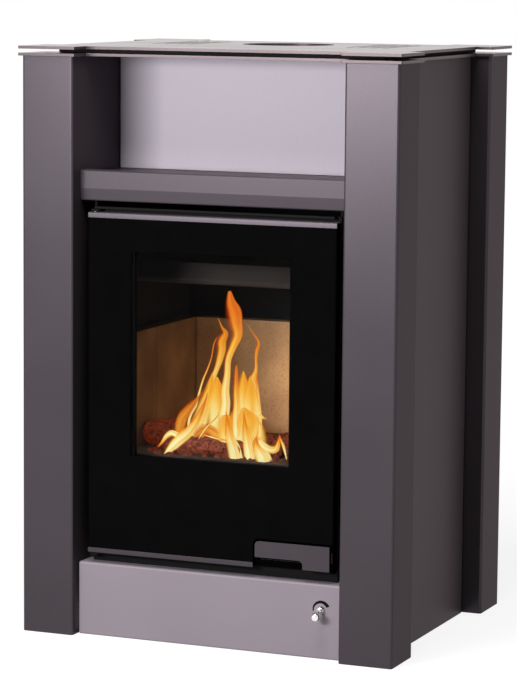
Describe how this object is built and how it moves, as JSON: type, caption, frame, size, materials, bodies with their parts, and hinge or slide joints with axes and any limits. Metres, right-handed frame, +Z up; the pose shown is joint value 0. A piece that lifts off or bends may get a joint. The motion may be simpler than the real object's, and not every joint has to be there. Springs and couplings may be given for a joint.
{
  "type": "wood-burning stove",
  "caption": "Free-standing steel stove with folded corner pillars, warming niche, glazed door with flat corner handle, fireclay firebox, ash pan and rotary air control.",
  "frame": {"origin": "middle of the footprint on the floor", "axes": "+Z up; the door faces -Y; +X is to the right of someone facing the door"},
  "size_m": [0.697, 0.5762, 1.0172],
  "materials": {
    "charcoal_paint": "satin metallic charcoal stove paint",
    "silver_paint": "satin metallic silver-grey stove paint",
    "black_steel": "matt black heat-resistant paint",
    "fireclay": "rough pressed fireclay",
    "cast_iron": "rough cast",
    "printed_glass": "glass ceramic with a black printed border round a clear window",
    "chrome": "polished",
    "rope": "knitted glass-fibre rope",
    "zinc_steel": "zinc-plated"
  },
  "bodies": {
    "stove": {"pillar_front_left": "charcoal_paint", "pillar_front_right": "charcoal_paint", "pillar_rear_left": "charcoal_paint", "pillar_rear_right": "charcoal_paint", "side_panel_left": "charcoal_paint", "side_panel_right": "charcoal_paint", "back_panel": "black_steel", "plinth_panel": "silver_paint", "front_rail": "charcoal_paint", "niche_floor": "charcoal_paint", "niche_side_left": "charcoal_paint", "niche_side_right": "charcoal_paint", "niche_back": "silver_paint", "top_plate_lower": "charcoal_paint", "top_spacer_frame": "black_steel", "top_plate_upper": "charcoal_paint", "flue_collar": "black_steel", "firebox_side_left": "black_steel", "firebox_side_right": "black_steel", "firebox_back": "black_steel", "firebox_roof": "black_steel", "firebox_floor": "black_steel", "hearth_plate": "black_steel", "front_frame": "black_steel", "baffle_plate": "black_steel", "airwash_deflector": "black_steel", "lining_left_front": "fireclay", "lining_left_rear": "fireclay", "lining_right_front": "fireclay", "lining_right_rear": "fireclay", "lining_back": "fireclay", "hearth_slab": "fireclay", "grate": "cast_iron", "log_guard": "black_steel", "base_cradle": "black_steel", "foot_front_left": "zinc_steel", "foot_front_right": "zinc_steel", "foot_rear_left": "zinc_steel", "foot_rear_right": "zinc_steel", "air_box": "black_steel", "air_valve_plate": "zinc_steel", "spindle_bush": "chrome", "hinge_bracket_bottom": "black_steel", "hinge_pin_bottom": "zinc_steel", "hinge_bracket_top": "black_steel", "hinge_pin_top": "zinc_steel", "latch_keeper": "zinc_steel"},
    "door": {"door_frame": "black_steel", "door_glass": "printed_glass", "door_strip_top": "charcoal_paint", "door_strip_bottom": "charcoal_paint", "door_gasket": "rope", "handle_pivot_pin": "zinc_steel"},
    "handle": {"door_handle": "charcoal_paint"},
    "ash_pan": {"ash_pan": "zinc_steel", "ash_pan_pull": "zinc_steel"},
    "air_control": {"air_spindle": "zinc_steel", "air_shutter": "zinc_steel", "air_knob": "chrome"}
  },
  "joints": [
    {"name": "door_swing", "type": "hinge", "parent": "stove", "child": "door", "pos_m": [-0.219, -0.247, 0.44], "axis": [0, 0, -1], "range_deg": [0, 95]},
    {"name": "handle_turn", "type": "hinge", "parent": "door", "child": "handle", "pos_m": [0.214, -0.248, 0.17], "axis": [0, 0, 1], "range_deg": [0, 28]},
    {"name": "ash_pan_slide", "type": "slide", "parent": "stove", "child": "ash_pan", "axis": [0, -1, 0], "range_m": [0, 0.17]},
    {"name": "air_control_turn", "type": "hinge", "parent": "stove", "child": "air_control", "pos_m": [0.2085, -0.2, 0.084], "axis": [0, 1, 0], "range_deg": [0, 160]}
  ],
  "couplings": [
    {"joint": "ash_pan_slide", "follows": "door_swing", "m_per_rad": 0.1}
  ]
}
